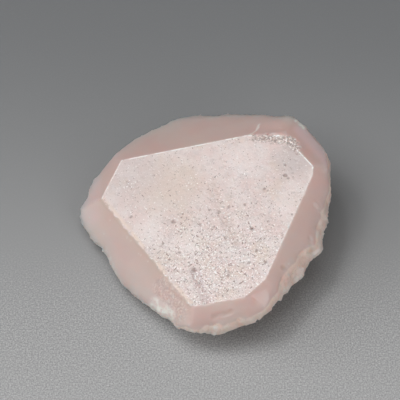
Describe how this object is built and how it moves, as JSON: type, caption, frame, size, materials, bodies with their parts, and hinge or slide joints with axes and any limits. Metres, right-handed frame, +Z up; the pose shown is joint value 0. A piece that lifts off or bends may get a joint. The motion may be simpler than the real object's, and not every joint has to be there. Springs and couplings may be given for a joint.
{
  "type": "morganite crystal",
  "caption": "Loose tabular crystal of pink beryl with a flat frosted end face, sloping pyramid faces and a broken rim and underside; rests flat as a mineral specimen.",
  "frame": {"origin": "centre of the bounding box in plan, at the height of the flat underside", "axes": "+Z up out of the surface the crystal rests on; +X to the side where the rim stands highest; +Y to the back, so -Y faces the viewer"},
  "size_m": [0.0516, 0.0526, 0.0178],
  "materials": {
    "morganite": "satin, translucent; frosted on the end face and sugary on the breaks"
  },
  "bodies": {
    "root": {"morganite_crystal": "morganite"}
  },
  "joints": []
}
